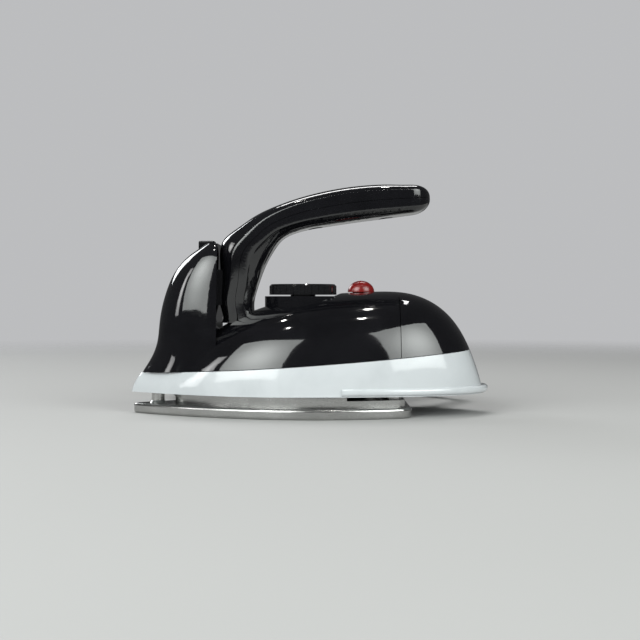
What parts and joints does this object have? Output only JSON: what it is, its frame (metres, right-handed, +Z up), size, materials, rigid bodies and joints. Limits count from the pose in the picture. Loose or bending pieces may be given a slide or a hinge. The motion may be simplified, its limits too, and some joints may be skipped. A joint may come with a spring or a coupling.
{
  "type": "waxing iron",
  "caption": "Small electric iron for melting wax onto skis and snowboards: pointed metal sole, pale skirt, dark housing, open-backed handle, temperature dial and lamp.",
  "frame": {"origin": "middle of the soleplate's flat working face", "axes": "+Z up from the working face, -X towards the pointed nose, +X towards the heel, +Y towards the side the cord leaves from"},
  "size_m": [0.1422, 0.1595, 0.0911],
  "materials": {
    "soleplate": "cast, fine-ground rim and polished working face",
    "heater_sheath": "heat-tinted sheath",
    "pin_steel": "plain drawn",
    "fastener_steel": "zinc plated",
    "gloss_black": "deep gloss moulding",
    "dial_black": "gloss moulding",
    "index_white": "paint fill",
    "skirt_white": "gloss moulding, cool pale grey-white",
    "lens_red": "clear red moulding",
    "bulb_glass": "clear",
    "sleeve_fibre": "varnished fibre",
    "ceramic_white": "unglazed",
    "spring_metal": "rolled strip",
    "contact_metal": "silver facing",
    "yoke_steel": "pressed and plated",
    "nut_brass": "turned",
    "shield_metal": "rolled sheet",
    "fuse_metal": "drawn case",
    "block_white": "heat-proof moulding",
    "wire_red": "silicone insulation",
    "wire_blue": "silicone insulation",
    "wire_green": "silicone insulation",
    "core_grey": "core insulation",
    "cord_black": "satin sheath",
    "tie_black": "woven band",
    "blade_brass": "plain rolled"
  },
  "bodies": {
    "iron": {"soleplate": "soleplate", "heating_element": "heater_sheath", "heater_pins": "pin_steel", "fuse_lead_rear": "pin_steel", "fuse_lead_front": "pin_steel", "body_screws": "fastener_steel", "handle_screws": "fastener_steel", "foot_screw": "fastener_steel", "clamp_screws": "fastener_steel", "terminal_screws": "fastener_steel", "stack_rivet": "fastener_steel", "front_housing": "gloss_black", "rear_cover": "gloss_black", "nose_cowl": "gloss_black", "handle_upper": "gloss_black", "handle_lower": "gloss_black", "skirt": "skirt_white", "lamp_lens": "lens_red", "glow_bulb": "bulb_glass", "bulb_sleeve": "sleeve_fibre", "fuse_sleeve": "sleeve_fibre", "lower_insulator": "ceramic_white", "middle_insulator": "ceramic_white", "upper_insulator": "ceramic_white", "upper_blade_root": "spring_metal", "lower_blade": "spring_metal", "bimetal_root": "spring_metal", "lower_contact": "contact_metal", "thermostat_yoke": "yoke_steel", "stack_foot": "yoke_steel", "spindle_nut": "nut_brass", "heat_shield": "shield_metal", "thermal_fuse": "fuse_metal", "terminal_block": "block_white", "clamp_base": "block_white", "cord_clamp": "block_white", "live_wire": "wire_red", "neutral_wire": "wire_blue", "earth_wire": "wire_green", "cord_cores": "core_grey", "mains_cord": "cord_black", "cord_boot": "cord_black", "plug_body": "cord_black", "cord_tie": "tie_black", "plug_blades": "blade_brass"},
    "dial": {"temperature_dial": "dial_black", "dial_index": "index_white"},
    "spindle": {"adjusting_spindle": "yoke_steel"},
    "contact_arm": {"upper_blade": "spring_metal", "upper_contact": "contact_metal"},
    "bimetal": {"bimetal_strip": "spring_metal", "push_bead": "ceramic_white"}
  },
  "joints": [
    {"name": "dial_turn", "type": "hinge", "parent": "iron", "child": "dial", "pos_m": [0.013, 0, 0.0492], "axis": [0, 0, -1], "range_deg": [0, 270.05]},
    {"name": "spindle_feed", "type": "slide", "parent": "dial", "child": "spindle", "axis": [0, 0, -1], "range_m": [0, 0.000525]},
    {"name": "contact_press", "type": "hinge", "parent": "iron", "child": "contact_arm", "pos_m": [0.02345, 0, 0.01625], "axis": [0, -1, 0], "range_deg": [0, 2.88]},
    {"name": "bimetal_bow", "type": "hinge", "parent": "iron", "child": "bimetal", "pos_m": [0.02345, 0, 0.0104], "axis": [0, 1, 0], "range_deg": [0, 1.5]}
  ],
  "couplings": [
    {"joint": "dial_turn", "follows": "spindle_feed", "rad_per_m": 8976},
    {"joint": "contact_press", "follows": "spindle_feed", "rad_per_m": 95.694}
  ]
}
